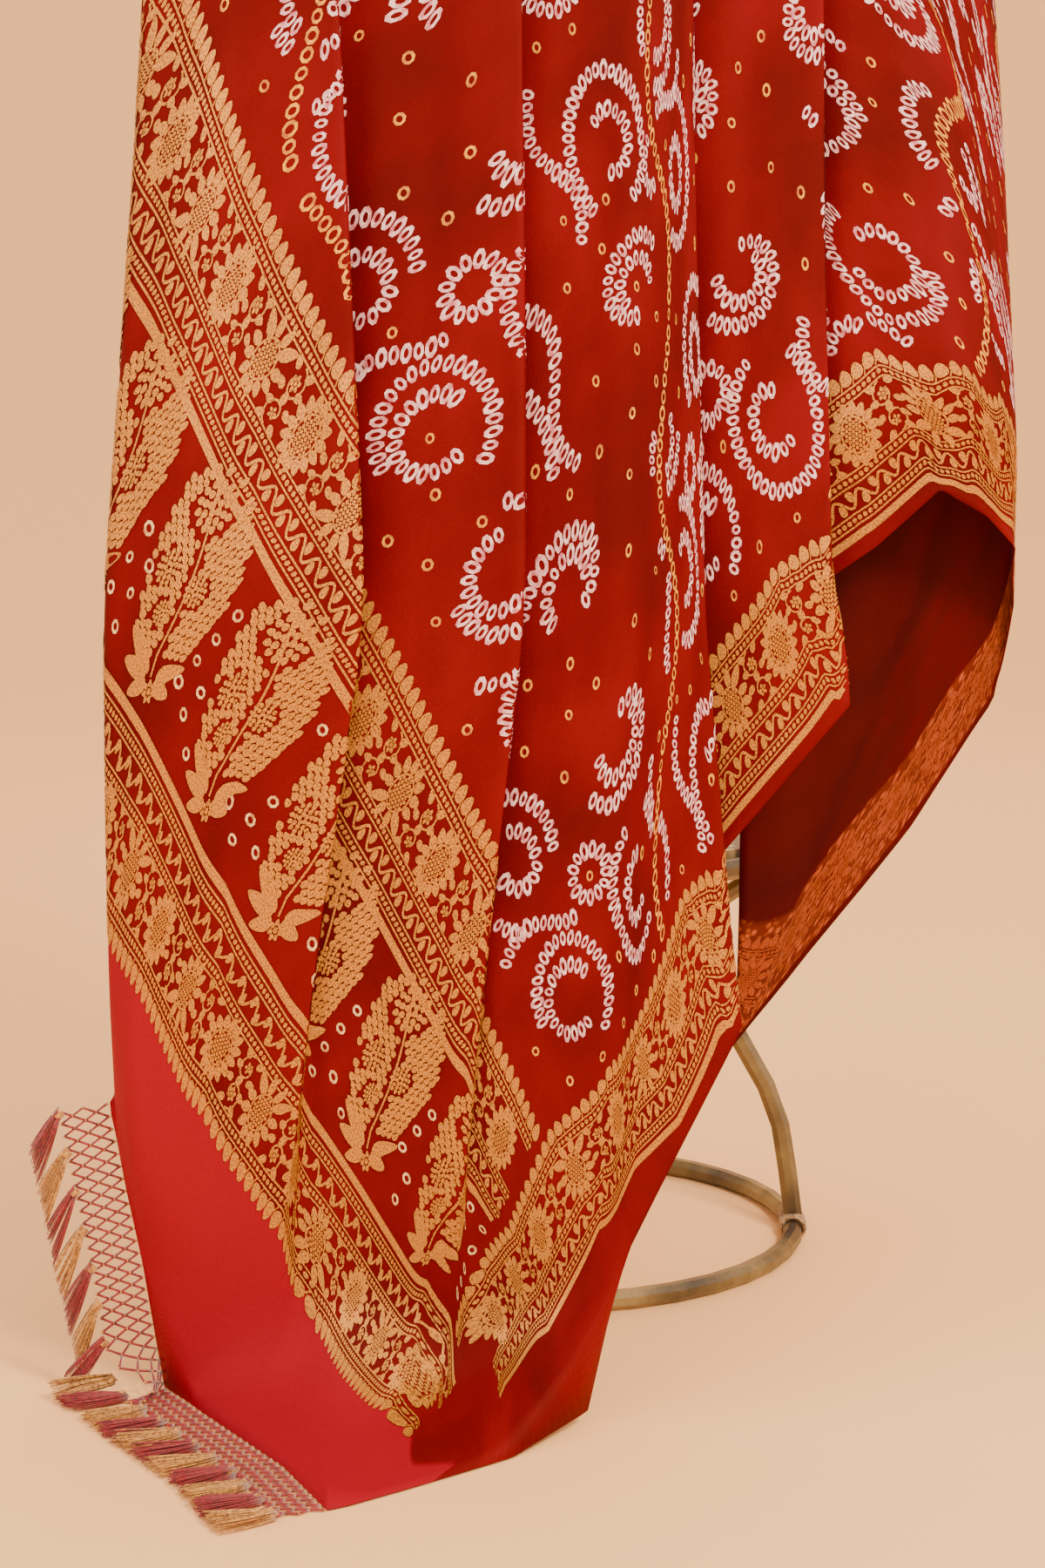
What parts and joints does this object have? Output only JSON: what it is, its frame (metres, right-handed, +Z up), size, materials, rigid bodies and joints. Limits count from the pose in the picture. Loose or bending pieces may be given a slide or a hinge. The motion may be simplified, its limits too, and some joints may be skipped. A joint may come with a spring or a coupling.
{
  "type": "bandhani cloth on a cane chair",
  "caption": "Red tie-dyed cloth with woven gold borders and a knotted, tasselled end, hung in pleats over the back of a round cane chair to show it off",
  "frame": {"origin": "middle of the underside of the whole object's box, on the floor", "axes": "+Z up; -Y faces the side where the cloth hangs; +X to the right as seen from there"},
  "size_m": [0.6852, 0.8618, 1.1354],
  "materials": {
    "georgette": "crinkled sheer silk georgette, tie-dyed, with woven gold borders",
    "silk_thread": "knotted and tasselled silk and gold thread",
    "cane": "satin bent cane with dark nodes",
    "woven_cane": "woven split cane"
  },
  "bodies": {
    "root": {"cloth": "georgette", "net_fringe_side": "silk_thread", "net_fringe_floor": "silk_thread", "seat_panel": "woven_cane", "base_ring": "cane", "waist_ring": "cane", "seat_ring": "cane", "back_hoop": "cane", "leg_1": "cane", "leg_2": "cane", "leg_3": "cane", "leg_4": "cane", "strut_1": "cane", "strut_2": "cane", "strut_3": "cane", "strut_4": "cane", "back_spoke_1": "cane", "back_spoke_2": "cane", "back_spoke_3": "cane"}
  },
  "joints": []
}
